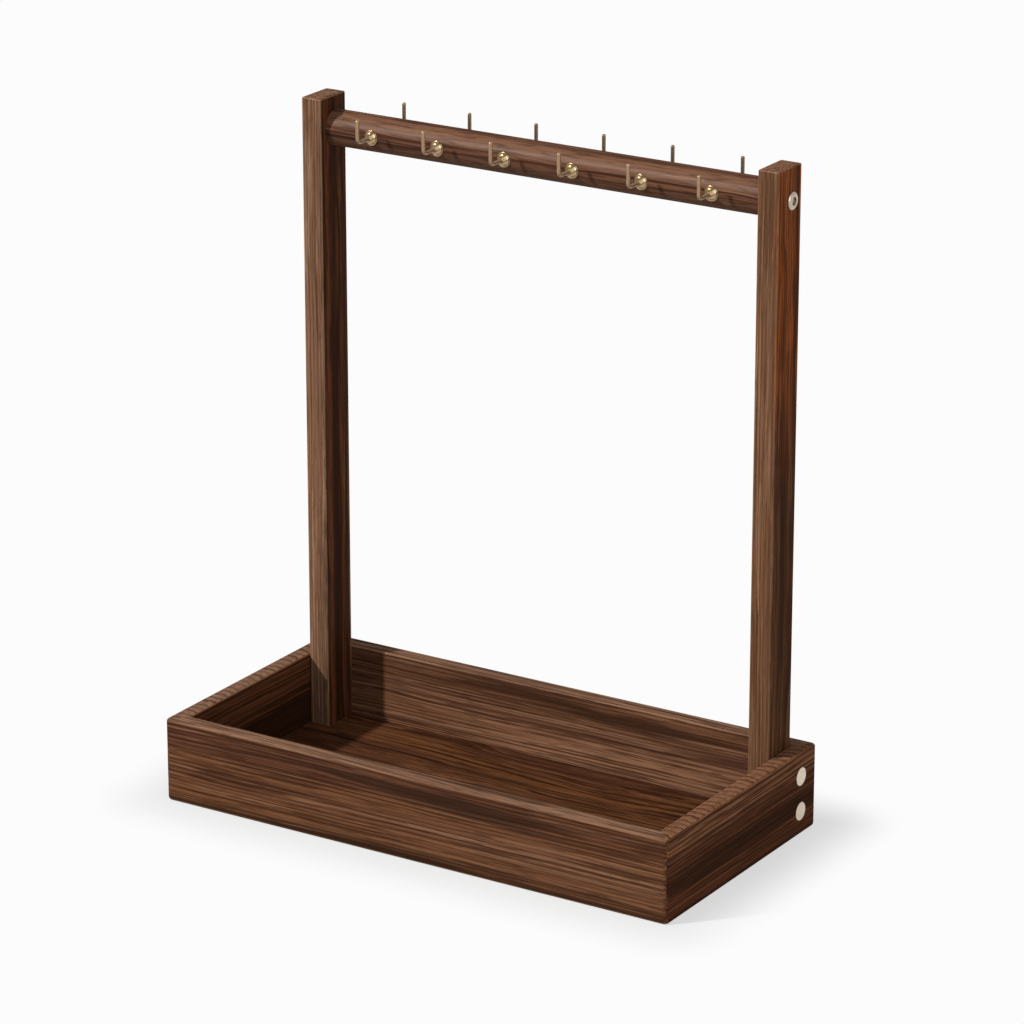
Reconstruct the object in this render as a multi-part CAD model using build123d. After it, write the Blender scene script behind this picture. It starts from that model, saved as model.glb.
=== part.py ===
from build123d import *

import math
import os

# Necklace stand: a shallow mitred walnut tray, two posts that stand in its rear corners, and a
# round rail between their tops that carries opposite pairs of square-bend brass hooks.
# Millimetres. +X runs along the tray to the right, -Y faces the user and +Z is up. The origin
# lies on the table, under the middle of the whole stand.

# Tray walls
tray_length = 300.0
tray_width = 150.0
wall_height = 45.0
wall_thickness = 10.0
corner_round = 3.0  # upright outer corners
rim_round = 1.5  # outer edge of the rim
inner_rim_round = 1.0  # inner edge of the rim
foot_round = 2.0  # lower outer edge

# Tray floor, let into a rebate along the foot of each wall
floor_thickness = 5.5
floor_recess = 0.5  # from the table up to the floor's underside
rebate_depth = 4.0  # how far the rebate reaches into a wall
rebate_clearance = 0.25  # between the floor's edge and the end of the rebate

# Posts
stand_height = 350.0
post_width = 12.0
post_depth = 23.0
post_edge_round = 1.2  # upright edges
post_top_round = 0.8  # edges of the top face

# Rail
rail_diameter = 19.0
rail_drop = 17.0  # from the posts' tops down to the rail's axis

# Hooks
hook_count = 6  # on each side of the rail
hook_end_distance = 28.0  # from a post to the axis of the nearest hook
hook_wire = 2.0
hook_reach = 12.0  # from the rail's surface out to the axis of the upright
hook_rise = 12.0  # from the axis of the arm up to the tip
hook_bend_radius = 2.5  # at the wire's axis
hook_tip_chamfer = 0.5
hook_collar_diameter = 8.0
hook_collar_rim = 0.7  # straight part of the collar's edge
hook_collar_thickness = 2.0
hook_collar_neck = 0.6  # flat ring round the wire on the collar's face
hook_seat_depth = 0.4  # flat that is spot-faced into the rail for a collar
hook_seat_clearance = 0.2  # round the collar, inside the spot face
hook_shank_diameter = 2.6
hook_point_length = 1.6
hook_pilot_clearance = 0.05  # round the shank
hook_tip_gap = 3.0  # between the points of two opposite hooks
hook_hole_room = 0.5  # past a hook's point, at the end of its hole

# Rail bolts: low domed heads outside the posts, threaded inserts in the rail's ends
bolt_diameter = 5.0
bolt_reach = 13.0  # past the post, into the rail
bolt_head_diameter = 9.5
bolt_head_height = 1.3
bolt_head_rim = 0.3  # straight part of the head's edge
bolt_head_crown = 2.9  # radius of the flat at the head's middle
bolt_socket_width = 4.0  # across the flats of the hexagon
bolt_socket_depth = 1.0
bolt_end_chamfer = 0.6
bolt_clearance = 0.25  # round the bolt, in the post and at the end of its hole
insert_diameter = 8.0
insert_length = 12.0
insert_clearance = 0.05  # round the insert and round the bolt's thread
bolt_end_room = 2.0  # past the bolt's end

# Foot screws: they hold each post's foot to its end wall, under plugs
screw_diameter = 3.5
screw_head_diameter = 7.0
screw_head_height = 2.2
screw_slot_width = 1.0
screw_slot_depth = 1.0
screw_point_length = 2.5
screw_clearance = 0.1  # round the screw and its head
screw_tip_cover = 3.0  # wood between a screw's point and the post's inner face
screw_rise = 7.0  # from the tray floor up to the lower screw's axis
screw_rim_distance = 13.0  # from the rim down to the upper screw's axis
screw_back_distance = 6.0  # from a post's rear face to the screws' axes
plug_diameter = 10.0
plug_thickness = 2.5
plug_clearance = 0.1  # round the plug and over the screw's head
plug_web = 3.0  # least wood between two plugs
plug_edge_chamfer = 0.3

# Heights
floor_top = floor_recess + floor_thickness
rail_axis_z = stand_height - rail_drop
lower_screw_z = floor_top + screw_rise
upper_screw_z = max(wall_height - screw_rim_distance, lower_screw_z + plug_diameter + plug_web)
screw_heights = (lower_screw_z, upper_screw_z)

# Front to back: the rail's back is flush with the posts' backs, which stand against the rear
# wall, and the rear hooks may reach out past the tray
rail_radius = rail_diameter / 2
hook_span = rail_radius + hook_reach + hook_wire / 2
rear_overhang = max(0.0, hook_span - rail_radius - wall_thickness)
tray_front_y = -(tray_width + rear_overhang) / 2
tray_rear_y = tray_front_y + tray_width
tray_middle_y = (tray_front_y + tray_rear_y) / 2
post_rear_y = tray_rear_y - wall_thickness
post_y = post_rear_y - post_depth / 2
rail_y = post_rear_y - rail_radius
screw_y = post_rear_y - min(screw_back_distance, post_depth / 2)

# Left to right
end_face_x = tray_length / 2
post_outer_x = end_face_x - wall_thickness
post_inner_x = post_outer_x - post_width
rail_length = 2 * post_inner_x
first_hook_x = -rail_length / 2 + hook_end_distance
hook_pitch = -2 * first_hook_x / (hook_count - 1)
hook_stations = [first_hook_x + number * hook_pitch for number in range(hook_count)]

# Sizes that follow from the fits
hook_seat_radius = rail_radius - hook_seat_depth  # from the rail's axis out to a collar's back
hook_shank_length = hook_seat_radius - hook_tip_gap / 2
counterbore_depth = plug_thickness + plug_clearance + screw_head_height
screw_length = wall_thickness - counterbore_depth + post_width - screw_tip_cover
bolt_length = post_width + bolt_reach

CUT_MARGIN = 1.0  # how far a cutter passes through a face
BEND_FACETS = 4  # straight steps round a hook's bend


def rod_along_x(diameter, start, end, y, z):
    """A round rod along X, from start to end."""
    turned = Rot(0, 90, 0) * Cylinder(diameter / 2, abs(end - start))
    return Pos((start + end) / 2, y, z) * turned


def edges_at_height(solid, z):
    """The edges of a solid that lie at one height."""
    return solid.edges().filter_by_position(Axis.Z, z, z)


def outline_edges(edges, half_length, half_width):
    """Of a ring's edges, those of the outer outline, past a given rectangle about the middle."""
    outer = []
    for edge in edges:
        middle = edge.center()
        if abs(middle.X) > half_length or abs(middle.Y) > half_width:
            outer.append(edge)
    return outer


def wall_ring():
    """The four walls in one piece about the origin, with their rounded edges and the rebate."""
    inner_length = tray_length - 2 * wall_thickness
    inner_width = tray_width - 2 * wall_thickness
    most_round = 0.45 * wall_thickness
    half_length = (tray_length - wall_thickness) / 2
    half_width = (tray_width - wall_thickness) / 2
    ring = Pos(0, 0, wall_height / 2) * Box(tray_length, tray_width, wall_height)
    ring = fillet(ring.edges().filter_by(Axis.Z), min(corner_round, most_round))
    ring = fillet(edges_at_height(ring, 0), min(foot_round, most_round))
    ring = fillet(edges_at_height(ring, wall_height), min(rim_round, most_round))
    ring -= Pos(0, 0, wall_height / 2) * Box(inner_length, inner_width, wall_height + CUT_MARGIN)
    rim = edges_at_height(ring, wall_height)
    outer_rim = outline_edges(rim, half_length, half_width)
    inner_rim = [edge for edge in rim if edge not in outer_rim]
    ring = fillet(inner_rim, min(inner_rim_round, most_round))
    rebate = Box(inner_length + 2 * rebate_depth, inner_width + 2 * rebate_depth, floor_top * 2)
    return ring - rebate


def wall_wedge(quarter):
    """Everything on one side of the tray, between the two mitre planes of its corners. The
    quarters count from the front wall, anticlockwise seen from above."""
    half_length = tray_length / 2
    half_width = tray_width / 2
    ridge = half_length - half_width
    front = [(-half_length, -half_width), (half_length, -half_width), (ridge, 0), (-ridge, 0)]
    right = [(half_length, -half_width), (half_length, half_width), (ridge, 0)]
    outlines = (
        front,
        right,
        [(-x, -y) for x, y in front],
        [(-x, -y) for x, y in right],
    )
    return extrude(make_face(Polyline(*outlines[quarter], close=True)), wall_height)


def screw_hole(side, z):
    """The cutter for one foot screw: plug and head recess, then the bore through the wall."""
    face = side * end_face_x
    recess = side * (end_face_x - counterbore_depth)
    outside = side * (end_face_x + CUT_MARGIN)
    bore_end = side * (post_outer_x - CUT_MARGIN)
    plug_bore = plug_diameter + 2 * plug_clearance
    shank_bore = screw_diameter + 2 * screw_clearance
    wide = rod_along_x(plug_bore, outside, recess, screw_y, z)
    narrow = rod_along_x(shank_bore, face, bore_end, screw_y, z)
    return wide + narrow


def tray_walls():
    """The four mitred boards, with the end walls drilled for the foot screws."""
    ring = wall_ring()
    names = ("front_wall", "right_end_wall", "rear_wall", "left_end_wall")
    walls = {}
    for quarter, name in enumerate(names):
        walls[name] = Pos(0, tray_middle_y, 0) * (ring & wall_wedge(quarter))
    for name, side in (("left_end_wall", -1), ("right_end_wall", 1)):
        for z in screw_heights:
            walls[name] -= screw_hole(side, z)
    return walls


def tray_floor():
    """The bottom board, up against the top of the rebate."""
    length = tray_length - 2 * (wall_thickness - rebate_depth + rebate_clearance)
    width = tray_width - 2 * (wall_thickness - rebate_depth + rebate_clearance)
    middle_z = floor_recess + floor_thickness / 2
    return Pos(0, tray_middle_y, middle_z) * Box(length, width, floor_thickness)


def post(side):
    """One post, on the tray floor in a rear corner, drilled for the bolt and the foot screws."""
    length = stand_height - floor_top
    most_round = 0.45 * min(post_width, post_depth)
    body = Pos(0, 0, length / 2) * Box(post_width, post_depth, length)
    body = fillet(body.edges().filter_by(Axis.Z), min(post_edge_round, most_round))
    body = fillet(edges_at_height(body, length), min(post_top_round, post_edge_round, most_round))
    body = Pos(side * (post_outer_x - post_width / 2), post_y, floor_top) * body
    bolt_bore = bolt_diameter + 2 * bolt_clearance
    outside = side * (post_outer_x + CUT_MARGIN)
    inside = side * (post_inner_x - CUT_MARGIN)
    body -= rod_along_x(bolt_bore, outside, inside, rail_y, rail_axis_z)
    screw_end = side * (post_inner_x + screw_tip_cover)
    for z in screw_heights:
        body -= rod_along_x(screw_diameter + 2 * screw_clearance, outside, screw_end, screw_y, z)
    return body


def hook_hole(angle):
    """The cutter for one hook in a rail about the origin: spot face and pilot hole. At an angle
    of 0 it opens to the front."""
    seat_diameter = hook_collar_diameter + 2 * hook_seat_clearance
    pilot_diameter = hook_shank_diameter + 2 * hook_pilot_clearance
    seat_length = hook_seat_depth + CUT_MARGIN
    pilot_start = hook_tip_gap / 2 - hook_hole_room
    pilot_length = rail_radius - pilot_start
    seat = Pos(0, -hook_seat_radius - seat_length / 2, 0) * (
        Rot(90, 0, 0) * Cylinder(seat_diameter / 2, seat_length)
    )
    pilot = Pos(0, -pilot_start - pilot_length / 2, 0) * (
        Rot(90, 0, 0) * Cylinder(pilot_diameter / 2, pilot_length)
    )
    return Rot(0, 0, angle) * (seat + pilot)


def hook_rail():
    """The round rail, with its hook holes and the stepped hole for an insert at each end."""
    rail = rod_along_x(rail_diameter, -rail_length / 2, rail_length / 2, 0, 0)
    for x in hook_stations:
        rail -= Pos(x, 0, 0) * hook_hole(0)
        rail -= Pos(x, 0, 0) * hook_hole(180)
    bolt_bore = bolt_diameter + 2 * bolt_clearance
    insert_bore = insert_diameter + 2 * insert_clearance
    for side in (-1, 1):
        outside = side * (rail_length / 2 + CUT_MARGIN)
        insert_end = side * (rail_length / 2 - insert_length)
        bolt_end = side * (rail_length / 2 - bolt_reach - bolt_end_room)
        rail -= rod_along_x(insert_bore, outside, insert_end, 0, 0)
        rail -= rod_along_x(bolt_bore, outside, bolt_end, 0, 0)
    return Pos(0, rail_y, rail_axis_z) * rail


def bevelled_dome(outer, low, inner, high):
    """The points of a domed edge in half section: from its rim, over one bevel, to its crown."""
    share = math.sin(math.radians(45))
    middle = (inner + (outer - inner) * share, low + (high - low) * share)
    return [(outer, low), middle, (inner, high)]


def hook_wire_rod():
    """The wire of a hook: an arm out from the collar, a square bend and an upright, about the
    rail's axis at the origin and reaching to the front."""
    reach = rail_radius + hook_reach
    sections = []
    for step in range(BEND_FACETS + 1):
        angle = math.radians(90 * step / BEND_FACETS)
        y = -reach + hook_bend_radius * (1 - math.sin(angle))
        z = hook_bend_radius * (1 - math.cos(angle))
        along = (0, -math.cos(angle), math.sin(angle))
        plane = Plane(origin=(0, y, z), x_dir=(1, 0, 0), z_dir=along)
        sections.append(plane * Circle(hook_wire / 2))
    arm = extrude(sections[0], -(reach - hook_bend_radius - hook_seat_radius))
    upright = extrude(sections[-1], hook_rise - hook_bend_radius)
    upright = chamfer(edges_at_height(upright, hook_rise), min(hook_tip_chamfer, 0.45 * hook_wire))
    return arm + loft(sections, ruled=True) + upright


def hook():
    """One hook about the rail's axis at the origin, reaching to the front: pointed shank, domed
    collar and square-bend wire."""
    neck = hook_wire / 2 + hook_collar_neck
    shank_radius = hook_shank_diameter / 2
    collar_radius = hook_collar_diameter / 2
    outline = [
        (0, hook_collar_thickness),
        (0, -hook_shank_length),
        (shank_radius, -hook_shank_length + hook_point_length),
        (shank_radius, 0),
        (collar_radius, 0),
    ]
    outline += bevelled_dome(collar_radius, hook_collar_rim, neck, hook_collar_thickness)
    turned = revolve(make_face(Polyline(*outline, close=True)), axis=Axis.Y)
    seated = Pos(0, -hook_seat_radius, 0) * (Rot(180, 0, 0) * turned)
    return seated + hook_wire_rod()


def rail_hooks():
    """All the hooks, in opposite pairs along the rail."""
    model = hook()
    hooks = {}
    for number, x in enumerate(hook_stations, start=1):
        place = Pos(x, rail_y, rail_axis_z)
        hooks[f"front_hook_{number}"] = place * model
        hooks[f"rear_hook_{number}"] = place * (Rot(0, 0, 180) * model)
    return hooks


def rail_bolt(side):
    """A bolt through a post into the insert: low domed head, hexagon socket."""
    head_radius = bolt_head_diameter / 2
    shank_radius = bolt_diameter / 2
    crown = min(bolt_head_crown, 0.8 * head_radius)
    tip_radius = shank_radius - bolt_end_chamfer
    outline = [
        (0, bolt_head_height),
        (0, -bolt_length),
        (tip_radius, -bolt_length),
        (shank_radius, -bolt_length + bolt_end_chamfer),
        (shank_radius, 0),
        (head_radius, 0),
    ]
    outline += bevelled_dome(head_radius, bolt_head_rim, crown, bolt_head_height)
    bolt = Rot(90, 0, 0) * revolve(make_face(Polyline(*outline, close=True)), axis=Axis.Y)
    corner_radius = bolt_socket_width / math.sqrt(3)
    socket = extrude(RegularPolygon(corner_radius, 6), bolt_socket_depth + CUT_MARGIN)
    bolt -= Pos(0, 0, bolt_head_height - bolt_socket_depth) * socket
    return Pos(side * post_outer_x, rail_y, rail_axis_z) * (Rot(0, side * 90, 0) * bolt)


def rail_insert(side):
    """A threaded insert, flush in one end of the rail."""
    bore = bolt_diameter + 2 * insert_clearance
    end = side * rail_length / 2
    inner_end = side * (rail_length / 2 - insert_length)
    body = rod_along_x(insert_diameter, end, inner_end, rail_y, rail_axis_z)
    passage = side * CUT_MARGIN
    return body - rod_along_x(bore, end + passage, inner_end - passage, rail_y, rail_axis_z)


def foot_screw(side, z):
    """A slotted pan-head wood screw, from the bottom of its recess into the post's foot."""
    head_radius = screw_head_diameter / 2
    shank_radius = screw_diameter / 2
    profile = Polyline(
        (0, screw_head_height),
        (0, -screw_length),
        (shank_radius, -screw_length + screw_point_length),
        (shank_radius, 0),
        (head_radius, 0),
        (head_radius, screw_head_height),
        (0, screw_head_height),
    )
    screw = Rot(90, 0, 0) * revolve(make_face(profile), axis=Axis.Y)
    slot_depth = min(screw_slot_depth, 0.6 * screw_head_height)
    slot = Box(screw_head_diameter + CUT_MARGIN, screw_slot_width, slot_depth * 2)
    screw -= Pos(0, 0, screw_head_height) * slot
    seat = side * (end_face_x - counterbore_depth)
    return Pos(seat, screw_y, z) * (Rot(0, side * 90, 0) * screw)


def screw_plug(side, z):
    """A round wooden plug over a screw's head, flush with the end wall."""
    plug = Pos(0, 0, -plug_thickness / 2) * Cylinder(plug_diameter / 2, plug_thickness)
    plug = chamfer(edges_at_height(plug, 0), min(plug_edge_chamfer, 0.45 * plug_thickness))
    return Pos(side * end_face_x, screw_y, z) * (Rot(0, side * 90, 0) * plug)


def fasteners(side, name):
    """The bolt, insert, foot screws and plugs of one post."""
    pieces = {
        f"{name}_rail_bolt": rail_bolt(side),
        f"{name}_rail_insert": rail_insert(side),
    }
    for level, z in zip(("lower", "upper"), screw_heights):
        pieces[f"{name}_{level}_screw"] = foot_screw(side, z)
        pieces[f"{name}_{level}_plug"] = screw_plug(side, z)
    return pieces


def necklace_stand():
    """Every piece of the stand, by name."""
    pieces = tray_walls()
    pieces["tray_floor"] = tray_floor()
    pieces["hook_rail"] = hook_rail()
    pieces.update(rail_hooks())
    for side, name in ((-1, "left"), (1, "right")):
        pieces[f"{name}_post"] = post(side)
        pieces.update(fasteners(side, name))
    return pieces


os.makedirs("parts", exist_ok=True)
for piece_name, piece in necklace_stand().items():
    export_step(piece, f"parts/{piece_name}.step")
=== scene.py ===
import math
from collections import namedtuple

import bmesh
import bpy
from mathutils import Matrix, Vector


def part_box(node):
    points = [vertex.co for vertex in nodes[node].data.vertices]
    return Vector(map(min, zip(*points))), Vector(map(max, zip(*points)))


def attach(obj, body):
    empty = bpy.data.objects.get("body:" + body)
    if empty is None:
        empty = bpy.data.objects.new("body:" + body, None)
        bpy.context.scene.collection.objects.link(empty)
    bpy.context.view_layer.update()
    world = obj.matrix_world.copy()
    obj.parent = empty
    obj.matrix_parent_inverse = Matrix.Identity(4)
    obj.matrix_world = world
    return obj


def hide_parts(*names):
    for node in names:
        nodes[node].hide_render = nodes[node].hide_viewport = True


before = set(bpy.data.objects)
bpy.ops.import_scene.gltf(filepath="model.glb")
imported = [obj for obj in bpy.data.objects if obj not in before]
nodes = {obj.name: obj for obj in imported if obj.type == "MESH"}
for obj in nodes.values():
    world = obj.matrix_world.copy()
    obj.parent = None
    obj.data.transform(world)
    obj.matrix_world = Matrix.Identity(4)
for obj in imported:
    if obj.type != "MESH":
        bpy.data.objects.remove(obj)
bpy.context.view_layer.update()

# Necklace stand: a shallow mitred walnut tray, two posts and a round rail with brass hooks.
# Metres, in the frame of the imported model: +X along the tray, -Y to the front, +Z up.


def box_low(name):
    """The corner of a node's box with its least X, Y and Z."""
    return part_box(name)[0]


def box_high(name):
    """The corner of a node's box with its greatest X, Y and Z."""
    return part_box(name)[1]


# Camera: a long lens that looks down on the right front corner
camera_azimuth = math.radians(32.19)
camera_elevation = math.radians(19.19)
camera_distance = 2.418
camera_target = Vector((0.0002, 0.0205, 0.1569))
camera_lens = 167.64  # mm
camera_sensor = 36.0  # mm
nearest_seen = 0.05
farthest_seen = 30.0

# Lamps
key_direction = Vector((-0.545, -0.593, 0.593))  # from the stand to the lamp
key_angle = math.radians(3)  # how wide the lamp looks from the stand
key_strength = 3.4
fill_direction = Vector((0.82, -0.42, 0.38))
fill_angle = math.radians(50)
fill_strength = 1.1

# Sky and floor
horizon_glow = 0.20
zenith_glow = 0.32
mirrored_glow = 0.78  # what metal sees of the sky
white = 0.975
floor_half_size = 6.0
floor_albedo = 0.65
glow_width = 0.045  # from the tray's outline to where the floor's glow is full
near_glow = 0.61
far_glow = 0.995

# Tray and rail
tray_half_length = box_high("right_end_wall").x
tray_half_width = (box_high("rear_wall").y - box_low("front_wall").y) / 2
wall_inner = box_low("right_end_wall").x
wall_middle = (wall_inner + tray_half_length) / 2
post_inner = box_low("right_post").x
post_outer = box_high("right_post").x
rail_drop = 0.017  # from the posts' tops down to the rail's axis
rail_y = (box_low("hook_rail").y + box_high("hook_rail").y) / 2
rail_z = box_high("right_post").z - rail_drop

# Hooks: distances run outwards from the rail's axis
hook_count = len([name for name in nodes if name.startswith("front_hook_")])
hook_pitch = box_high("front_hook_2").x - box_high("front_hook_1").x
shank_point = 0.0016
shank_point_radius = 0.0002
shank_shoulder = 0.0031  # where the shank's point has its full width
shank_radius = 0.0013
collar_seat = 0.0091
flange_radius = 0.0040
flange_thickness = 0.0005
flange_bevel = 0.00015
flange_bevel_rise = 0.00012
dome_radius = 0.00355
dome_height = 0.00175
dome_foot_lift = 0.0002  # from the flange's face
dome_foot_flare = 0.0001
dome_turn = math.radians(72)  # how much of a quarter turn the dome's outline has
dome_steps = 10
neck_flare = 0.00005
neck_start = 0.0001  # past the dome
neck_end = 0.0004
wire_radius = 0.0010
hook_reach = 0.0215
hook_bend = 0.0025
hook_rise = 0.0120
bend_steps = 10
tip_height = 0.0008  # of the rounded end of the wire
tip_turn = math.radians(84)
tip_steps = 6
hook_sides = 30

# A highlight painted on each hook's collar, a bright bar with a painted dark line on each side:
# its slope, its cover, and its colours by the distance above the middle
painted_highlight_slope = math.radians(33)
painted_highlight_cover = 0.9
painted_highlight_colours = [
    (-0.0040, (0.45, 0.30, 0.165, 1.0)),
    (-0.0018, (0.50, 0.34, 0.18, 1.0)),
    (-0.0012, (0.09, 0.06, 0.02, 1.0)),
    (-0.0007, (0.67, 0.51, 0.30, 1.0)),
    (0.0006, (0.72, 0.555, 0.335, 1.0)),
    (0.0011, (0.16, 0.11, 0.04, 1.0)),
    (0.0026, (0.24, 0.145, 0.06, 1.0)),
    (0.0040, (0.34, 0.22, 0.10, 1.0)),
]

# Rail bolts: distances run outwards from the posts' outer faces
bolt_end = box_low("right_rail_bolt").x
bolt_radius = 0.0025
bolt_chamfer = 0.0006
head_radius = 0.00475
head_height = 0.0013
head_rim = 0.0003
head_bevel = 0.0001
head_crown = 0.0029  # radius of the flat round the socket
head_steps = 8
socket_mouth = 0.0025  # radius of the countersink
socket_mouth_depth = 0.0002
socket_width = 0.0040
socket_floor = 0.0003
socket_centre = 0.0003  # radius of the low point in the socket's floor
socket_centre_depth = 0.0001
head_sides = 48

# Oiled wood: its roughness and its fine relief, in which lines and pores lie lower
oil_roughness = 0.40
wood_roughness = 0.40
fibre_roughness = 0.25  # what the fibres add
relief_depth = 0.0002
relief_strength = 0.25
ring_sink = 0.6
pore_sink = 0.8

# Mesh edges sharper than this stay crisp
crisp_edge = math.radians(50)


def srgb(red, green, blue):
    """A colour given as on a screen, from 0 to 255, as linear light."""
    def linear(value):
        share = value / 255
        return share / 12.92 if share <= 0.04045 else ((share + 0.055) / 1.055) ** 2.4
    return (linear(red), linear(green), linear(blue), 1.0)


# A layer of noise in a board: its waves along the grain on a metre, its waves across the grain
# on a growth ring or on a metre, its form, the values between which it fades in, and how
# strongly it counts
Layer = namedtuple(
    "Layer",
    "along across detail roughness offset low high strength",
    defaults=(2.0, 0.5, (0.0, 0.0, 0.0), 0.0, 1.0, 1.0),
)

# Layers whose waves across the grain are counted on a growth ring
ground_bands = Layer(2.0, 0.16, roughness=0.55, low=0.36, high=0.64)
light_strands = Layer(
    9, 1.5, roughness=0.55, offset=(3.1, 7.7, 1.3), low=0.50, high=0.66, strength=0.55
)
dark_streaks = Layer(
    9, 1.9, roughness=0.6, offset=(1.7, 2.9, 4.1), low=0.50, high=0.63, strength=0.72
)
ring_wander = Layer(3.5, 0.20, detail=1.0, strength=2.4)
ring_fade = Layer(14, 0.6, detail=1.0, low=0.25, high=0.55)

# Layers whose waves across the grain are counted on a metre
slow_sway = Layer(5, 12, detail=1.0)
quick_sway = Layer(18, 40, detail=1.0, strength=0.35)
short_flecks = Layer(65, 760, detail=1.0, offset=(6.1, 0.9, 3.7), low=0.54, high=0.64, strength=0.42)
fine_fibres = Layer(30, 1700, roughness=0.6, low=0.40, high=0.75, strength=0.36)
pores = Layer(110, 3000, detail=1.0, low=0.62, high=0.72, strength=0.5)
patch_strands = Layer(7, 480, roughness=0.6, offset=(5.3, 1.9, 2.2), strength=2.2)
patch_wander = Layer(12, 60, detail=1.0, offset=(0.7, 3.1, 6.4), strength=0.8)


class Shader:
    """The node tree of a material or a sky, with short calls for the nodes that it holds."""

    def __init__(self, holder):
        self.holder = holder
        holder.use_nodes = True
        self.tree = holder.node_tree
        self.tree.nodes.clear()
        coordinates = self.node("ShaderNodeTexCoord").outputs
        self.place = coordinates["Object"]
        self.normal = coordinates["Normal"]
        self.direction = coordinates["Generated"]

    def node(self, kind, **settings):
        made = self.tree.nodes.new(kind)
        for key, value in settings.items():
            setattr(made, key, value)
        return made

    def feed(self, socket, value):
        """Links an output to a socket, or sets the socket to a plain value."""
        if isinstance(value, bpy.types.NodeSocket):
            self.tree.links.new(value, socket)
        else:
            socket.default_value = value

    def math(self, operation, *values):
        made = self.node("ShaderNodeMath", operation=operation)
        for socket, value in zip(made.inputs, values):
            self.feed(socket, value)
        return made.outputs[0]

    def times(self, first, second):
        return self.math("MULTIPLY", first, second)

    def plus(self, first, second):
        return self.math("ADD", first, second)

    def minus(self, first, second):
        return self.math("SUBTRACT", first, second)

    def line(self, value, slope, start):
        """Start, plus slope times the value."""
        return self.math("MULTIPLY_ADD", value, slope, start)

    def mix(self, share, first, second, strength=1.0):
        """The first colour, covered by the second as far as share and strength say."""
        made = self.node("ShaderNodeMix", data_type="RGBA")
        self.feed(made.inputs["Factor"], self.times(share, strength))
        self.feed(made.inputs[6], first)
        self.feed(made.inputs[7], second)
        return made.outputs[2]

    def smooth(self, value, low, high):
        """0 where value is at low or short of it, 1 at high or past it, and smooth between."""
        made = self.node("ShaderNodeMapRange", interpolation_type="SMOOTHSTEP")
        self.feed(made.inputs["Value"], value)
        self.feed(made.inputs["From Min"], low)
        self.feed(made.inputs["From Max"], high)
        return made.outputs[0]

    def between(self, share, first, second):
        """First where share is 0, second where it is 1."""
        made = self.node("ShaderNodeMapRange")
        self.feed(made.inputs["Value"], share)
        self.feed(made.inputs["To Min"], first)
        self.feed(made.inputs["To Max"], second)
        return made.outputs[0]

    def ramp(self, value, low, high, stops):
        """A colour that runs through stops as value goes from low to high."""
        made = self.node("ShaderNodeValToRGB")
        share = self.math("DIVIDE", self.minus(value, low), high - low)
        self.feed(made.inputs["Fac"], share)
        points = made.color_ramp.elements
        while len(points) < len(stops):
            points.new(1.0)
        for point, (place, colour) in zip(points, stops):
            point.position = (place - low) / (high - low)
            point.color = colour
        return made.outputs["Color"]

    def scaled(self, vector, scale, offset=(0.0, 0.0, 0.0)):
        made = self.node("ShaderNodeMapping")
        self.feed(made.inputs["Vector"], vector)
        made.inputs["Scale"].default_value = scale
        made.inputs["Location"].default_value = offset
        return made.outputs[0]

    def length(self, vector):
        made = self.node("ShaderNodeVectorMath", operation="LENGTH")
        self.feed(made.inputs[0], vector)
        return made.outputs["Value"]

    def noise(self, vector, scale, detail=2.0, roughness=0.5, offset=(0.0, 0.0, 0.0)):
        """Noise from 0 to 1, whose scale along each axis is in waves per metre."""
        made = self.node("ShaderNodeTexNoise", noise_dimensions="3D")
        self.feed(made.inputs["Vector"], self.scaled(vector, scale, offset))
        made.inputs["Scale"].default_value = 1.0
        made.inputs["Detail"].default_value = detail
        made.inputs["Roughness"].default_value = roughness
        return made.outputs["Fac"]

    def layer(self, grain, layer, rings=1.0):
        """A layer's noise. Rings is the growth rings on a metre, for a layer counted on them."""
        across = layer.across * rings
        scale = (layer.along, across, across)
        return self.noise(grain, scale, layer.detail, layer.roughness, layer.offset)

    def faded(self, grain, layer, rings=1.0):
        """A layer from 0, where it doesn't show, to 1."""
        return self.smooth(self.layer(grain, layer, rings), layer.low, layer.high)

    def swaying(self, grain, layer):
        """A layer's noise about zero."""
        return self.minus(self.layer(grain, layer), 0.5)

    def random(self, number):
        """A random value from 0 to 1 for each whole number."""
        made = self.node("ShaderNodeTexWhiteNoise", noise_dimensions="1D")
        self.feed(made.inputs["W"], number)
        return made.outputs["Value"]

    def separate(self, vector):
        made = self.node("ShaderNodeSeparateXYZ")
        self.feed(made.inputs[0], vector)
        return made.outputs[0], made.outputs[1], made.outputs[2]

    def combine(self, x, y, z):
        made = self.node("ShaderNodeCombineXYZ")
        for socket, value in zip(made.inputs, (x, y, z)):
            self.feed(socket, value)
        return made.outputs[0]

    def bump(self, height, strength):
        made = self.node("ShaderNodeBump")
        made.inputs["Strength"].default_value = strength
        made.inputs["Distance"].default_value = relief_depth
        self.feed(made.inputs["Height"], height)
        return made.outputs["Normal"]

    def metal(self, colour, roughness, metallic=1.0):
        """A bare metal surface. Returns the material."""
        surface = self.node("ShaderNodeBsdfPrincipled")
        self.feed(surface.inputs["Base Color"], colour)
        self.feed(surface.inputs["Roughness"], roughness)
        surface.inputs["Metallic"].default_value = metallic
        return self.output(surface)

    def oiled(self, colour, roughness, sheen, normal):
        """Bare wood under a thin coat of oil. Returns the material."""
        surface = self.node("ShaderNodeBsdfPrincipled")
        self.feed(surface.inputs["Base Color"], colour)
        self.feed(surface.inputs["Roughness"], roughness)
        self.feed(surface.inputs["Normal"], normal)
        surface.inputs["Specular IOR Level"].default_value = 0.0
        surface.inputs["Coat Weight"].default_value = sheen
        surface.inputs["Coat Roughness"].default_value = oil_roughness
        return self.output(surface)

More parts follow.
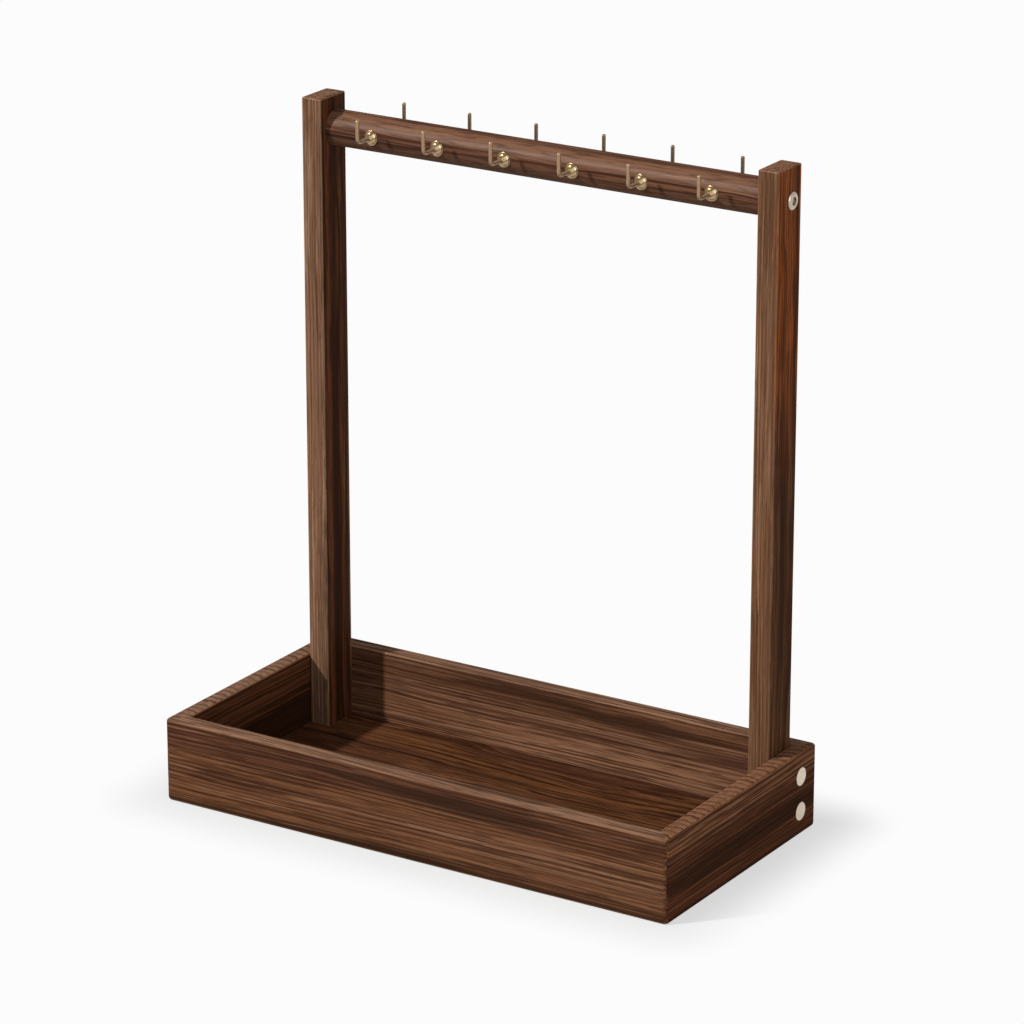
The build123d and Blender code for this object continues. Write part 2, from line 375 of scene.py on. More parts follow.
    def output(self, surface, kind="ShaderNodeOutputMaterial"):
        output = self.node(kind)
        self.feed(output.inputs["Surface"], surface.outputs[0])
        return self.holder


# A patch of another colour: its middle and reach along X, Y and Z of the stand, where a reach of
# None leaves that axis out, its colour and how strongly it covers
Patch = namedtuple("Patch", "middle reach colour strength")

# The colours of a board: purple-brown and golden brown ground, dark lines and light ones
Tones = namedtuple("Tones", "cool warm dark light")

# The way across a board's growth rings, with its grain on X
upright_rings = (0.0, 0.3, 0.95)
level_rings = (0.0, 0.95, 0.3)
round_rings = (0.0, 0.7, 0.7)

# A board: its finish's name, the axis of its grain, its place in the log, its tones and patches,
# the way across its growth rings, their number on a metre, how far the grain sways, how drawn
# out its marks are, and the lighter colour painted on its top as light from above. A barred board
# has cross figure on its rim, the upward setting keeps the light edges, from wear and a painted
# highlight, to those that look up, calm_front weakens the lines on its front and back, and
# shaded_below darkens its underside. Sheen is the weight of its coat of oil.
Board = namedtuple(
    "Board",
    "finish grain seed tones patches across rings sway run top barred worn_upwards calm_front"
    " shaded_below sheen",
    defaults=((), upright_rings, 460, 0.007, 1.0, None, False, False, 0.0, 0.0, 0.04),
)

# The turn that brings a board's grain to the X axis of its pattern
grain_turns = {
    "X": (0.0, 0.0, 0.0),
    "Y": (0.0, 0.0, math.radians(-90)),
    "Z": (0.0, math.radians(90), 0.0),
}
log_step = (1.7, 0.31, 0.53)  # from one board's place in the log to the next


def grain_places(shader, board):
    """Places in a board, along its grain on X, with the grain's slow waves taken in."""
    turned = shader.node("ShaderNodeMapping")
    shader.feed(turned.inputs["Vector"], shader.place)
    turned.inputs["Rotation"].default_value = grain_turns[board.grain]
    turned.inputs["Location"].default_value = [board.seed * step for step in log_step]
    straight = turned.outputs[0]
    shift = shader.times(shader.swaying(straight, slow_sway), board.sway)
    quick = shader.swaying(straight, quick_sway)
    shift = shader.line(quick, board.sway * quick_sway.strength, shift)
    along, across, deep = shader.separate(straight)
    return shader.combine(
        shader.math("DIVIDE", along, board.run),
        shader.plus(across, shift),
        shader.plus(deep, shift),
    )


patch_edge = (2.55, 2.05)  # the spreads between which a patch sets in


def strand_patch(shader, grain, patch):
    """How strongly a patch shows at a place, from 0 to 1: a lens whose rim runs out in strands."""
    scale = [0.0 if half is None else 1.0 / half for half in patch.reach]
    offset = [-middle * share for middle, share in zip(patch.middle, scale)]
    spread = shader.length(shader.scaled(shader.place, scale, offset))
    for layer in (patch_strands, patch_wander):
        spread = shader.line(shader.layer(grain, layer), layer.strength, spread)
    return shader.smooth(spread, *patch_edge)


ring_rise = (0.36, 0.82)  # the shares of a ring between which its dark side sets in
ring_drop = (1.0, 0.90)  # and between which it ends
faintest_ring = 0.35


def growth_lines(shader, grain, board):
    """The dark side of each growth ring, from 0 to 1."""
    across = shader.node("ShaderNodeVectorMath", operation="DOT_PRODUCT")
    shader.feed(across.inputs[0], grain)
    across.inputs[1].default_value = [part * board.rings for part in board.across]
    wander = shader.layer(grain, ring_wander, board.rings)
    phase = shader.line(wander, ring_wander.strength, across.outputs["Value"])
    share = shader.math("FRACT", phase)
    line = shader.times(shader.smooth(share, *ring_rise), shader.smooth(share, *ring_drop))
    chance = shader.random(shader.math("FLOOR", phase))
    strength = shader.line(chance, 1 - faintest_ring, faintest_ring)
    strength = shader.times(strength, shader.faded(grain, ring_fade, board.rings))
    return shader.times(line, strength)


# How squarely an edge between two faces looks along its nearest axis: where its rounding
# starts, and where it is well under way
edge_turn = (0.985, 0.88)


def facing(shader, axis):
    """How squarely a face looks along an axis of the stand, either way, from 0 to 1."""
    part = shader.separate(shader.normal)["XYZ".index(axis)]
    return shader.math("ABSOLUTE", part)


def arris(shader):
    """1 on the rounded edges between two faces, 0 on the faces."""
    squarest = facing(shader, "X")
    for axis in "YZ":
        squarest = shader.math("MAXIMUM", squarest, facing(shader, axis))
    return shader.smooth(squarest, *edge_turn)


# Cross figure on the rims of the end boards: bars, bowed towards the tray's rear, and threads.
# Waves are on a metre, across the rim and along it.
bars_per_metre = 185.0
bar_bow = 60.0
rim_squeeze = 0.5  # of places across a rim
bar_waves = (200, 60, 1)
bar_offset = (2.0, 0.4, 0.0)
bar_wander = 1.6
bar_rise = (0.35, 0.80)
bar_drop = (1.0, 0.85)
faintest_bar = 0.5
thread_waves = (500, 700, 1)
thread_rise = (0.48, 0.70)
thread_cover = 0.5
figure_roughness = 0.6


def cross_figure(shader):
    """The dark bars and threads that cross the rims of the end boards."""
    x, y, z = shader.separate(shader.place)
    inward = shader.minus(shader.math("ABSOLUTE", x), wall_middle)
    bow = shader.times(shader.times(inward, inward), bar_bow)
    along = shader.plus(y, bow)
    rim = shader.combine(shader.times(inward, rim_squeeze), along, 0.0)
    wander = shader.noise(rim, bar_waves, roughness=figure_roughness, offset=bar_offset)
    phase = shader.line(wander, bar_wander, shader.times(along, bars_per_metre))
    share = shader.math("FRACT", phase)
    bars = shader.times(shader.smooth(share, *bar_rise), shader.smooth(share, *bar_drop))
    chance = shader.random(shader.math("FLOOR", phase))
    bars = shader.times(bars, shader.line(chance, 1 - faintest_bar, faintest_bar))
    threads = shader.noise(rim, thread_waves, roughness=figure_roughness)
    thin = shader.times(shader.smooth(threads, *thread_rise), thread_cover)
    return shader.math("MAXIMUM", bars, thin)


# How squarely a face looks along an axis: where it starts to count as lying so, and where it
# counts in full
level_face = (0.8, 0.95)
top_face = (0.55, 0.85)
upward_edge = (0.05, 0.30)
under_face = (0.45, -0.75)

# How strongly each thing covers the ground
painted_top_light_cover = 0.85
ring_cover = 0.95
bar_cover = 0.8
wear_and_highlight_cover = 0.5
barred_calm = 0.8  # how far the bars take the place of the lines along the grain


def ground(shader, grain, board):
    """The ground of a board: bands of its two browns, with light strands."""
    tones = board.tones
    bands = shader.faded(grain, ground_bands, board.rings)
    colour = shader.mix(bands, tones.cool, tones.warm)
    strands = shader.faded(grain, light_strands, board.rings)
    return shader.mix(strands, colour, tones.light, light_strands.strength)


def with_patches(shader, grain, board, colour):
    """The ground with a lighter colour painted on the board's top as light from above, and its
    patches, some of them painted shade.
    """
    if board.top is not None:
        # Painted light on the faces that look up
        top = shader.smooth(facing(shader, "Z"), *top_face)
        colour = shader.mix(top, colour, board.top, painted_top_light_cover)
    for patch in board.patches:
        cover = strand_patch(shader, grain, patch)
        colour = shader.mix(cover, colour, patch.colour, patch.strength)
    return colour


def line_strength(shader, board):
    """How strongly the lines along the grain show on each face of a board."""
    if board.barred:
        level = shader.smooth(facing(shader, "Z"), *level_face)
        return shader.line(level, -barred_calm, 1.0)
    if board.calm_front:
        front = shader.smooth(facing(shader, "Y"), *level_face)
        return shader.line(front, -board.calm_front, 1.0)
    return 1.0


def worn_and_highlit_edges(shader, board):
    """The edges of a board that are lighter, from wear of the finish and from a painted highlight."""
    worn_and_lit = arris(shader)
    if board.worn_upwards:
        upward = shader.smooth(facing(shader, "Z"), *upward_edge)
        worn_and_lit = shader.times(worn_and_lit, upward)
    return worn_and_lit


def underside(shader):
    """How far a face of the rail turns down, from 0 near its top to 1 near its lowest line."""
    return shader.smooth(shader.separate(shader.normal)[2], *under_face)


def walnut(board):
    """Oiled walnut for one board."""
    shader = Shader(bpy.data.materials.new(board.finish))
    dark = board.tones.dark
    grain = grain_places(shader, board)
    colour = with_patches(shader, grain, board, ground(shader, grain, board))
    shown = line_strength(shader, board)
    rings = shader.times(growth_lines(shader, grain, board), shown)
    colour = shader.mix(rings, colour, dark, ring_cover)
    streaks = shader.times(shader.faded(grain, dark_streaks, board.rings), shown)
    colour = shader.mix(streaks, colour, dark, dark_streaks.strength)
    if board.barred:
        level = shader.smooth(facing(shader, "Z"), *level_face)
        bars = shader.times(cross_figure(shader), level)
        colour = shader.mix(bars, colour, dark, bar_cover)
    # Light edges, partly wear of the finish and partly a painted highlight
    colour = shader.mix(worn_and_highlit_edges(shader, board), colour, board.tones.light, wear_and_highlight_cover)
    flecks = shader.times(shader.faded(grain, short_flecks), shown)
    colour = shader.mix(flecks, colour, dark, short_flecks.strength)
    if board.shaded_below:
        colour = shader.mix(underside(shader), colour, dark, board.shaded_below)
    fibres = shader.layer(grain, fine_fibres)
    fibre_lines = shader.smooth(fibres, fine_fibres.low, fine_fibres.high)
    colour = shader.mix(fibre_lines, colour, dark, fine_fibres.strength)
    pits = shader.faded(grain, pores)
    colour = shader.mix(pits, colour, dark, pores.strength)
    roughness = shader.line(fibres, fibre_roughness, wood_roughness)
    height = shader.line(rings, -ring_sink, shader.times(pits, -pore_sink))
    normal = shader.bump(height, relief_strength)
    return shader.oiled(colour, roughness, board.sheen, normal)


def from_rail(shader):
    """How far a place lies from the rail's axis."""
    return shader.length(shader.scaled(shader.place, (0.0, 1.0, 1.0), (0.0, -rail_y, -rail_z)))


def painted_collar_highlight(shader):
    """A painted highlight: a bright bar across each polished collar, with a painted dark line on each
    side.
    """
    x, y, z = shader.separate(shader.place)
    number = shader.math("FRACT", shader.math("DIVIDE", x, hook_pitch))
    beside = shader.times(shader.minus(number, 0.5), hook_pitch)
    level = shader.times(shader.minus(z, rail_z), math.cos(painted_highlight_slope))
    above = shader.line(beside, -math.sin(painted_highlight_slope), level)
    return shader.ramp(above, -flange_radius, flange_radius, painted_highlight_colours)


# A metal: its clouds on a metre, its two tones, its least roughness and what the clouds add
Metal = namedtuple("Metal", "clouds dull bright roughness rougher")
satin_brass = Metal(900, srgb(140, 111, 83), srgb(176, 146, 115), 0.30, 0.16)
nickel_plate = Metal(700, srgb(170, 154, 136), srgb(208, 192, 174), 0.20, 0.14)
zinc_plate = Metal(800, srgb(170, 172, 172), srgb(214, 216, 214), 0.25, 0.2)
cloud_detail = 3.0

# Painted shade and a tint: a colour, and how strongly it covers
brass_painted_under_shade = (srgb(120, 94, 58), 0.35)
brass_painted_contact_shade = (srgb(70, 48, 28), 0.7)
brass_rear_tint = (srgb(92, 86, 66), 0.5)
socket_painted_shade = (srgb(84, 68, 52), 0.75)
head_rim_painted_shade = (srgb(70, 50, 38), 0.8)

# Distances from the rail's axis, which is the bolts' too, where a finish starts to change and
# where it has changed
collar_edge = (0.0124, 0.0116)
contact_shade_edge = (0.0106, 0.0092)
rear_tint_edge = (0.012, 0.016)  # to the rear
socket_edge = (0.0028, 0.0024)
head_edge = (0.0043, 0.0047)

downward = (0.0, -0.7)  # how far a face turns down
sideways = (0.95, 0.6)  # how far a face turns from the X axis
brass_metallic = 0.72
collar_polish = 0.14  # how much smoother the collars are


def clouded(shader, metal):
    """The colour and the roughness of a metal with its faint clouds."""
    waves = (metal.clouds, metal.clouds, metal.clouds)
    clouds = shader.noise(shader.place, waves, detail=cloud_detail)
    colour = shader.mix(clouds, metal.dull, metal.bright)
    return colour, shader.line(clouds, metal.rougher, metal.roughness)


def brass(name):
    """Satin brass, polished on the collars, with a painted highlight across each collar, painted
    shade underneath and where it meets the rail, and a greyer tint on the rear row.
    """
    shader = Shader(bpy.data.materials.new(name))
    colour, roughness = clouded(shader, satin_brass)
    # Painted shade where the brass turns down
    under = shader.smooth(shader.separate(shader.normal)[2], *downward)
    colour = shader.mix(under, colour, *brass_painted_under_shade)
    collar = shader.smooth(from_rail(shader), *collar_edge)
    # Painted highlight across each collar
    colour = shader.mix(collar, colour, painted_collar_highlight(shader), painted_highlight_cover)
    # Painted shade where the collar meets the rail
    close = shader.smooth(from_rail(shader), *contact_shade_edge)
    colour = shader.mix(close, colour, *brass_painted_contact_shade)
    # A darker, greyer colour on the rear row of hooks
    back = shader.minus(shader.separate(shader.place)[1], rail_y)
    colour = shader.mix(shader.smooth(back, *rear_tint_edge), colour, *brass_rear_tint)
    roughness = shader.line(collar, -collar_polish, roughness)
    return shader.metal(colour, roughness, brass_metallic)


def nickel():
    """Bright nickel plate, with painted shade on the socket's walls and round the head's edge."""
    shader = Shader(bpy.data.materials.new("nickel_bolt"))
    colour, roughness = clouded(shader, nickel_plate)
    # Painted shade on the walls of the socket
    inside = shader.smooth(from_rail(shader), *socket_edge)
    walls = shader.times(inside, shader.smooth(facing(shader, "X"), *sideways))
    colour = shader.mix(walls, colour, *socket_painted_shade)
    # Painted shade round the edge of the head, where it meets the post
    rim = shader.smooth(from_rail(shader), *head_edge)
    colour = shader.mix(rim, colour, *head_rim_painted_shade)
    return shader.metal(colour, roughness)


def zinc():
    """Plated steel, for the screws under the plugs."""
    shader = Shader(bpy.data.materials.new("zinc_screw"))
    return shader.metal(*clouded(shader, zinc_plate))


# The plugs: waves on a metre, and where a mark starts to show and where it shows in full
plug_ring_waves = (40, 500, 900)
plug_ring_rise = (0.4, 0.65)
plug_fleck_waves = (60, 2400, 2400)
plug_fleck_rise = (0.6, 0.75)
plug_pale = srgb(252, 235, 216)
plug_band = srgb(240, 220, 198)
plug_fleck = (srgb(176, 152, 128), 0.4)
plug_joint = (srgb(60, 36, 22), 0.7)
joint_turn = (0.9, 0.6)
plug_roughness = 0.6
plug_sheen = 0.05
plug_relief = 0.2


def maple():
    """The pale wood of the plugs, with its end grain outwards and a dark joint round it."""
    shader = Shader(bpy.data.materials.new("pale_plug"))
    rings = shader.smooth(shader.noise(shader.place, plug_ring_waves), *plug_ring_rise)
    colour = shader.mix(rings, plug_pale, plug_band)
    flecks = shader.noise(shader.place, plug_fleck_waves, detail=1.0)
    colour = shader.mix(shader.smooth(flecks, *plug_fleck_rise), colour, *plug_fleck)
    joint = shader.smooth(facing(shader, "X"), *joint_turn)
    colour = shader.mix(joint, colour, *plug_joint)
    normal = shader.bump(flecks, plug_relief)
    return shader.oiled(colour, plug_roughness, plug_sheen, normal)


def dress(material, *names):
    """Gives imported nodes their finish."""
    for name in names:
        slots = nodes[name].data.materials
        slots.clear()
        slots.append(material)


def outline(centre, side, up, radii):
    """A closed ring of points about a centre, with one radius for each point."""
    points = []
    for number, radius in enumerate(radii):
        angle = 2 * math.pi * number / len(radii)
        points.append(centre + (side * math.cos(angle) + up * math.sin(angle)) * radius)
    return points


def skin(name, rings):
    """A mesh stretched over a string of rings and closed at both ends."""
    shape = bmesh.new()
    rows = [[shape.verts.new(point) for point in ring] for ring in rings]
    for first, second in zip(rows, rows[1:]):
        for number in range(len(first)):
            following = (number + 1) % len(first)
            shape.faces.new((first[number], first[following], second[following], second[number]))
    shape.faces.new(rows[0])
    shape.faces.new(rows[-1])
    bmesh.ops.recalc_face_normals(shape, faces=shape.faces)
    mesh = bpy.data.meshes.new(name)
    shape.to_mesh(mesh)
    shape.free()
    mesh.shade_smooth()
    mesh.set_sharp_from_angle(angle=crisp_edge)
    return mesh


def shank_profile():
    """Distances from the rail's axis and radii, up a hook's pointed shank to its collar."""
    return [
        (shank_point, shank_point_radius),
        (shank_shoulder, shank_radius),
        (collar_seat, shank_radius),
    ]


def collar_profile():
    """Distances and radii over a hook's collar, a thin flange and a dome, to its arm."""
    flange_face = collar_seat + flange_thickness
    stops = [
        (collar_seat, flange_radius - flange_bevel),
        (collar_seat + flange_bevel, flange_radius),
        (flange_face, flange_radius),
        (flange_face + flange_bevel_rise, flange_radius - flange_bevel),
        (flange_face + flange_bevel, dome_radius + dome_foot_flare),
    ]
    foot = flange_face + dome_foot_lift
    for step in range(dome_steps + 1):
        angle = dome_turn * step / dome_steps
        stops.append((foot + dome_height * math.sin(angle), dome_radius * math.cos(angle)))
    stops.append((foot + dome_height + neck_start, wire_radius + neck_flare))
    stops.append((foot + dome_height + neck_end, wire_radius))
    return stops


def hook_mesh():
    """One hook about the rail's axis at the origin, reaching to the front."""
    side = Vector((1, 0, 0))
    rear = Vector((0, 1, 0))
    top = Vector((0, 0, 1))
    rings = []

    def add(y, z, up, radius):
        rings.append(outline(Vector((0, y, z)), side, up, [radius] * hook_sides))

    for distance, radius in shank_profile() + collar_profile():
        add(-distance, 0, top, radius)
    for step in range(bend_steps + 1):
        angle = math.radians(90 * step / bend_steps)
        y = -hook_reach + hook_bend * (1 - math.sin(angle))
        z = hook_bend * (1 - math.cos(angle))
        add(y, z, rear * math.sin(angle) + top * math.cos(angle), wire_radius)
    for step in range(tip_steps + 1):
        angle = tip_turn * step / tip_steps
        z = hook_rise - tip_height + tip_height * math.sin(angle)
        add(-hook_reach, z, rear, wire_radius * math.cos(angle))
    return skin("brass_hooks", rings)


def hexagon_radii(width):
    """The distances from the middle of a hexagon to its outline, right round it."""
    radii = []
    for number in range(head_sides):
        turn = (2 * math.pi * number / head_sides) % (math.pi / 3) - math.pi / 6
        radii.append(width / 2 / math.cos(turn))
    return radii


def head_profile():
    """Distances from the post's outer face and radii, over a bolt's low domed head."""
    stops = [(0.0, head_radius - head_bevel), (head_bevel, head_radius)]
    for step in range(head_steps + 1):
        share = 1 - step / head_steps
        height = head_rim + (head_height - head_rim) * (1 - share * share)
        stops.append((height, head_crown + (head_radius - head_crown) * share))
    stops.append((head_height, socket_mouth))
    return stops


def bolt_mesh():
    """One rail bolt, with its head past the right post and its axis on X."""
    rear = Vector((0, 1, 0))
    top = Vector((0, 0, 1))
    rings = []

    def add(distance, radii):
        rings.append(outline(Vector((distance, 0, 0)), rear, top, radii))

    def add_round(distance, radius):
        add(distance, [radius] * head_sides)

    add_round(bolt_end, bolt_radius - bolt_chamfer)
    add_round(bolt_end + bolt_chamfer, bolt_radius)
    add_round(post_outer, bolt_radius)
    for height, radius in head_profile():
        add_round(post_outer + height, radius)
    add(post_outer + head_height - socket_mouth_depth, hexagon_radii(socket_width))
    add(post_outer + socket_floor, hexagon_radii(socket_width))
    add_round(post_outer + socket_floor - socket_centre_depth, socket_centre)
    return skin("rail_bolts", rings)


def paired_rows():
    """A node tree that sets copies of its geometry on a row of places, and beside each a copy
    turned about to face the other way."""
    tree = bpy.data.node_groups.new("paired_rows", "GeometryNodeTree")
    inputs = (
        ("Geometry", "NodeSocketGeometry"),
        ("Count", "NodeSocketInt"),
        ("Start", "NodeSocketVector"),
        ("Step", "NodeSocketVector"),
        ("Finish", "NodeSocketMaterial"),
    )
    for name, kind in inputs:
        tree.interface.new_socket(name, in_out="INPUT", socket_type=kind)
    tree.interface.new_socket("Geometry", in_out="OUTPUT", socket_type="NodeSocketGeometry")
    made = tree.nodes.new
    link = tree.links.new
    start = made("NodeGroupInput")
    row = made("GeometryNodeMeshLine")
    link(start.outputs["Count"], row.inputs["Count"])
    link(start.outputs["Start"], row.inputs["Start Location"])
    link(start.outputs["Step"], row.inputs["Offset"])
    both = made("GeometryNodeJoinGeometry")
    for turn in (0.0, math.pi):
        copies = made("GeometryNodeInstanceOnPoints")
        link(row.outputs["Mesh"], copies.inputs["Points"])
        link(start.outputs["Geometry"], copies.inputs["Instance"])
        copies.inputs["Rotation"].default_value = (0.0, 0.0, turn)
        link(copies.outputs["Instances"], both.inputs[0])
    solid = made("GeometryNodeRealizeInstances")
    link(both.outputs[0], solid.inputs[0])
    coated = made("GeometryNodeSetMaterial")
    link(solid.outputs[0], coated.inputs["Geometry"])
    link(start.outputs["Finish"], coated.inputs["Material"])
    end = made("NodeGroupOutput")
    link(coated.outputs[0], end.inputs[0])
    return tree


def repeat(mesh, tree, values, material, replaced):
    """Sets a mesh out by the tree, as one plain piece that rides on the stand."""
    piece = bpy.data.objects.new(mesh.name, mesh)
    bpy.context.scene.collection.objects.link(piece)
    modifier = piece.modifiers.new("rows", "NODES")
    modifier.node_group = tree
    values = dict(values, Finish=material)
    for item in tree.interface.items_tree:
        if item.in_out == "INPUT" and item.name in values:
            modifier[item.identifier] = values[item.name]
    graph = bpy.context.evaluated_depsgraph_get()
    plain = bpy.data.meshes.new_from_object(piece.evaluated_get(graph), depsgraph=graph)
    piece.modifiers.clear()
    piece.data = plain
    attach(piece, "root")
    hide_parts(*replaced)


def floor_material():
    """Near white for the camera, with the stand's soft shadow kept by its plain share."""
    shader = Shader(bpy.data.materials.new("studio_floor"))
    plain = shader.node("ShaderNodeBsdfDiffuse")
    plain.inputs["Color"].default_value = (floor_albedo, floor_albedo, floor_albedo, 1.0)
    glow = shader.node("ShaderNodeEmission")
    glow.inputs["Color"].default_value = (white, white, white, 1.0)
    path = shader.node("ShaderNodeLightPath").outputs
    seen = shader.math("MAXIMUM", path["Is Camera Ray"], path["Is Glossy Ray"])
    x, y, z = shader.separate(shader.place)
    past_end = shader.minus(shader.math("ABSOLUTE", x), tray_half_length)
    past_side = shader.minus(shader.math("ABSOLUTE", y), tray_half_width)
    outside = shader.combine(
        shader.math("MAXIMUM", past_end, 0.0),
        shader.math("MAXIMUM", past_side, 0.0),
        0.0,
    )
    rise = shader.smooth(shader.length(outside), 0.0, glow_width)
    glow_share = shader.line(rise, far_glow - near_glow, near_glow)
    both = shader.node("ShaderNodeMixShader")
    shader.feed(both.inputs[0], shader.times(seen, glow_share))
    shader.feed(both.inputs[1], plain.outputs[0])
    shader.feed(both.inputs[2], glow.outputs[0])
    return shader.output(both)


def build_floor():
    half = floor_half_size
    corners = [(-half, -half, 0), (half, -half, 0), (half, half, 0), (-half, half, 0)]
    mesh = bpy.data.meshes.new("studio_floor")
    mesh.from_pydata(corners, [], [(0, 1, 2, 3)])
    floor = bpy.data.objects.new("studio_floor", mesh)
    bpy.context.scene.collection.objects.link(floor)
    mesh.materials.append(floor_material())


def build_sky():
    """A pale sky, a little brighter overhead, which shows as white to the camera."""
    world = bpy.data.worlds.new("studio_sky")
    bpy.context.scene.world = world
    shader = Shader(world)
    path = shader.node("ShaderNodeLightPath").outputs
    height = shader.separate(shader.direction)[2]
    strength = shader.between(height, horizon_glow, zenith_glow)
    strength = shader.between(path["Is Glossy Ray"], strength, mirrored_glow)
    strength = shader.between(path["Is Camera Ray"], strength, white)
    background = shader.node("ShaderNodeBackground")
    background.inputs["Color"].default_value = (1.0, 1.0, 1.0, 1.0)
    shader.feed(background.inputs["Strength"], strength)
    shader.output(background, "ShaderNodeOutputWorld")


def aim(holder, place, direction):
    """Puts a lamp or the camera at a place, looking along a direction."""
    bpy.context.scene.collection.objects.link(holder)
    holder.location = place
    holder.rotation_mode = "QUATERNION"
    holder.rotation_quaternion = direction.to_track_quat("-Z", "Y")


def build_lamp(name, direction, angle, strength):
    lamp = bpy.data.lights.new(name, "SUN")
    lamp.angle = angle
    lamp.energy = strength
    aim(bpy.data.objects.new(name, lamp), camera_target + direction, -direction)


def build_camera():
    lens = bpy.data.cameras.new("photo_camera")
    lens.lens = camera_lens
    lens.sensor_width = camera_sensor
    lens.clip_start = nearest_seen
    lens.clip_end = farthest_seen
    holder = bpy.data.objects.new("photo_camera", lens)
    back = Vector((
        math.sin(camera_azimuth) * math.cos(camera_elevation),
        -math.cos(camera_azimuth) * math.cos(camera_elevation),
        math.sin(camera_elevation),
    ))
    aim(holder, camera_target + back * camera_distance, -back)
    bpy.context.scene.camera = holder


wall_tones = Tones(srgb(94, 60, 42), srgb(107, 70, 46), srgb(48, 27, 17), srgb(134, 97, 70))
rear_tones = Tones(srgb(106, 71, 54), srgb(126, 87, 61), srgb(56, 33, 21), srgb(152, 113, 86))
end_tones = Tones(srgb(82, 47, 30), srgb(98, 58, 37), srgb(40, 22, 11), srgb(122, 80, 53))
floor_tones = Tones(srgb(82, 50, 35), srgb(106, 66, 38), srgb(38, 20, 10), srgb(124, 83, 55))
left_post_tones = Tones(srgb(115, 84, 64), srgb(131, 95, 70), srgb(44, 25, 14), srgb(168, 132, 107))
right_post_tones = Tones(srgb(106, 74, 53), srgb(121, 84, 58), srgb(54, 31, 18), srgb(152, 115, 88))
rail_tones = Tones(srgb(98, 62, 46), srgb(114, 75, 53), srgb(48, 27, 18), srgb(136, 99, 75))
# Lighter colours painted on the tops of the walls and the posts, as light from above
rim_painted_light = srgb(148, 112, 89)
post_top_painted_light = srgb(152, 112, 88)

heartwood = srgb(40, 23, 13)
dark_lens = srgb(48, 33, 24)
light_lens = srgb(146, 106, 80)
end_light = srgb(138, 93, 66)
streak_red = srgb(112, 62, 36)
# Painted shade at the foot of the walls and low on the left end's inner face
foot_painted_shade = srgb(28, 16, 10)
# Darker wood with painted shade, for the posts' faces that look along X
side_dark_wood_and_shade = srgb(58, 27, 11)
purple_shade = srgb(76, 46, 35)
red_blush = srgb(150, 78, 36)

rim_patches = [
    Patch((-0.020, 0.0, 0.037), (0.200, None, 0.0080), purple_shade, 0.6),
    Patch((-0.015, 0.0, 0.0390), (0.060, None, 0.0030), dark_lens, 0.7),
    Patch((0.045, 0.0, 0.0355), (0.060, None, 0.0050), dark_lens, 0.75),
]
front_patches = rim_patches + [
    # Painted shade along the foot of the front
    Patch((-0.035, 0.0, 0.0010), (0.080, None, 0.0040), foot_painted_shade, 0.6),
    Patch((0.0, 0.0, 0.0), (None, None, 0.0070), foot_painted_shade, 0.65),
    Patch((0.085, 0.0, 0.0195), (0.100, None, 0.0065), light_lens, 0.35),
]
rear_patches = rim_patches + [
    Patch((0.060, 0.0, 0.010), (0.130, None, 0.0170), light_lens, 0.7),
]
right_end_patches = [
    Patch((0.0, 0.0, 0.0425), (None, 0.40, 0.0085), end_light, 0.75),
    Patch((0.0, 0.0, 0.018), (None, 0.30, 0.0065), heartwood, 0.65),
    # Painted shade along the foot
    Patch((0.0, 0.0, 0.0), (None, None, 0.0015), foot_painted_shade, 0.8),
]
left_end_patches = [
    # Painted shadow on the lower part of the inner face
    Patch((-wall_inner, 0.0, 0.012), (0.002, None, 0.0170), foot_painted_shade, 0.8),
]
one_face = 0.0012  # a reach that keeps a patch to one face of a post
left_post_patches = [
    # Darker wood and painted shade on the post's inner face
    Patch((-post_inner, 0.051, 0.0), (one_face, 0.0200, None), side_dark_wood_and_shade, 0.85),
    Patch((-post_inner, 0.0455, 0.200), (one_face, 0.0030, 0.400), streak_red, 0.6),
    Patch((-post_inner, 0.0560, 0.120), (one_face, 0.0030, 0.300), streak_red, 0.5),
    Patch((-post_inner, 0.0510, 0.150), (one_face, 0.0040, 0.240), heartwood, 0.8),
]
right_post_patches = [
    # Darker wood and painted shade on the post's outer face
    Patch((post_outer, 0.050, 0.100), (one_face, 0.0180, 0.330), side_dark_wood_and_shade, 0.5),
    Patch((post_outer, 0.051, 0.160), (one_face, 0.0045, 0.110), heartwood, 0.8),
    Patch((post_outer, 0.052, 0.345), (one_face, 0.025, 0.150), red_blush, 0.75),
]

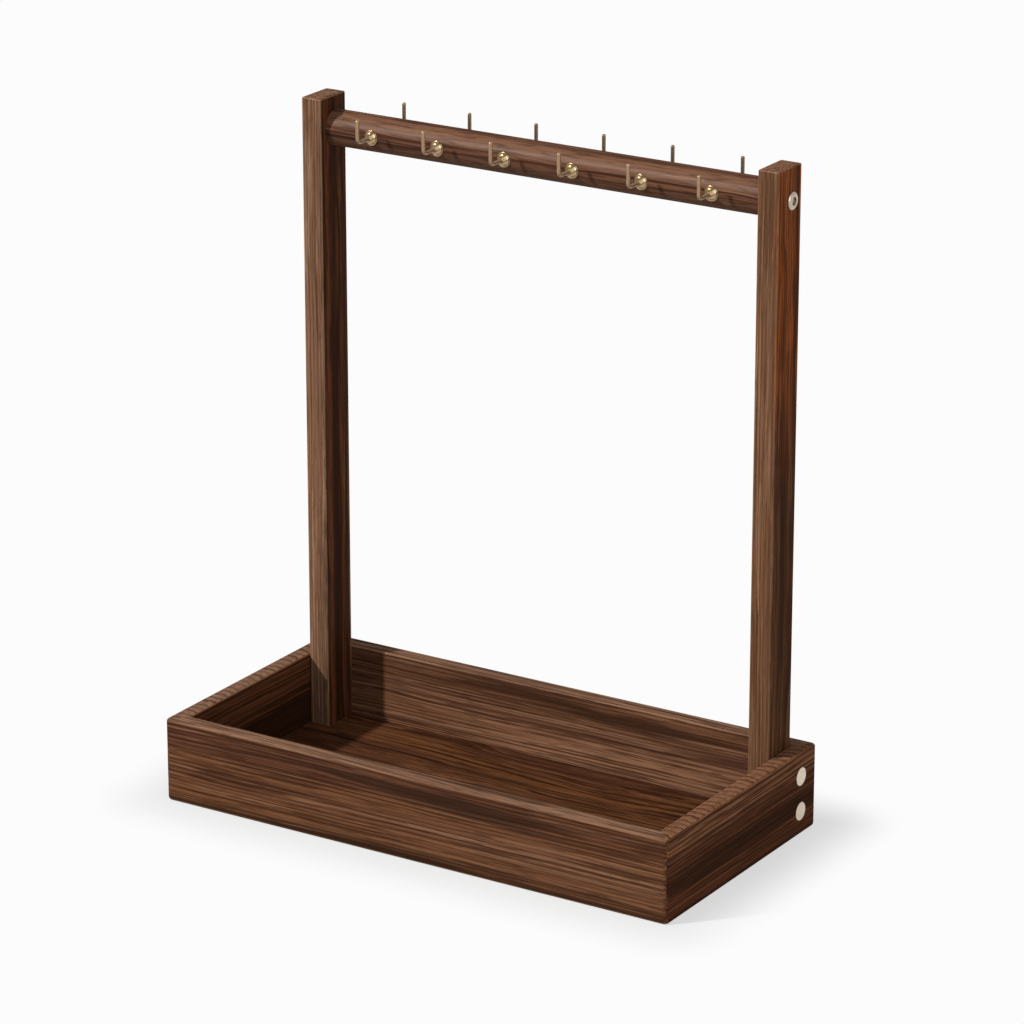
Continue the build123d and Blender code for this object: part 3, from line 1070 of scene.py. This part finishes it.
# What the boards of a kind have in common
wall = dict(sway=0.0045, top=rim_painted_light, worn_upwards=True)
long_wall = dict(wall, run=1.4)
end_wall = dict(wall, run=1.8, barred=True)
upright = dict(sway=0.005, top=post_top_painted_light, calm_front=0.5)
boards = {
    "front_wall": Board("walnut_front_wall", "X", 11, wall_tones, front_patches, **long_wall),
    "rear_wall": Board("walnut_rear_wall", "X", 12, rear_tones, rear_patches, **long_wall),
    "left_end_wall": Board("walnut_left_end", "Y", 3, end_tones, left_end_patches, **end_wall),
    "right_end_wall": Board("walnut_right_end", "Y", 4, end_tones, right_end_patches, **end_wall),
    "tray_floor": Board(
        "walnut_floor", "X", 5, floor_tones, across=level_rings, rings=210, sway=0.018
    ),
    "left_post": Board("walnut_left_post", "Z", 6, left_post_tones, left_post_patches, **upright),
    "right_post": Board("walnut_right_post", "Z", 7, right_post_tones, right_post_patches, **upright),
    "hook_rail": Board(
        "walnut_rail", "X", 8, rail_tones, across=round_rings, rings=380, shaded_below=0.5, sheen=0.12
    ),
}
for name, board in boards.items():
    dress(walnut(board), name)
dress(zinc(), *[name for name in nodes if name.endswith("_screw")])
dress(maple(), *[name for name in nodes if name.endswith("_plug")])
dress(brass("brass_insert"), "left_rail_insert", "right_rail_insert")

rows = paired_rows()
hook_row = {
    "Count": hook_count,
    "Start": (-hook_pitch * (hook_count - 1) / 2, rail_y, rail_z),
    "Step": (hook_pitch, 0.0, 0.0),
}
numbers = range(1, hook_count + 1)
hook_nodes = [f"{row}_hook_{number}" for row in ("front", "rear") for number in numbers]
repeat(hook_mesh(), rows, hook_row, brass("brass_hook"), hook_nodes)
bolt_row = {"Count": 1, "Start": (0.0, rail_y, rail_z), "Step": (0.0, 0.0, 0.0)}
bolt_nodes = ["left_rail_bolt", "right_rail_bolt"]
repeat(bolt_mesh(), rows, bolt_row, nickel(), bolt_nodes)

build_floor()
build_sky()
build_lamp("key_lamp", key_direction, key_angle, key_strength)
build_lamp("fill_lamp", fill_direction, fill_angle, fill_strength)
build_camera()
bpy.context.scene.view_settings.view_transform = "Standard"
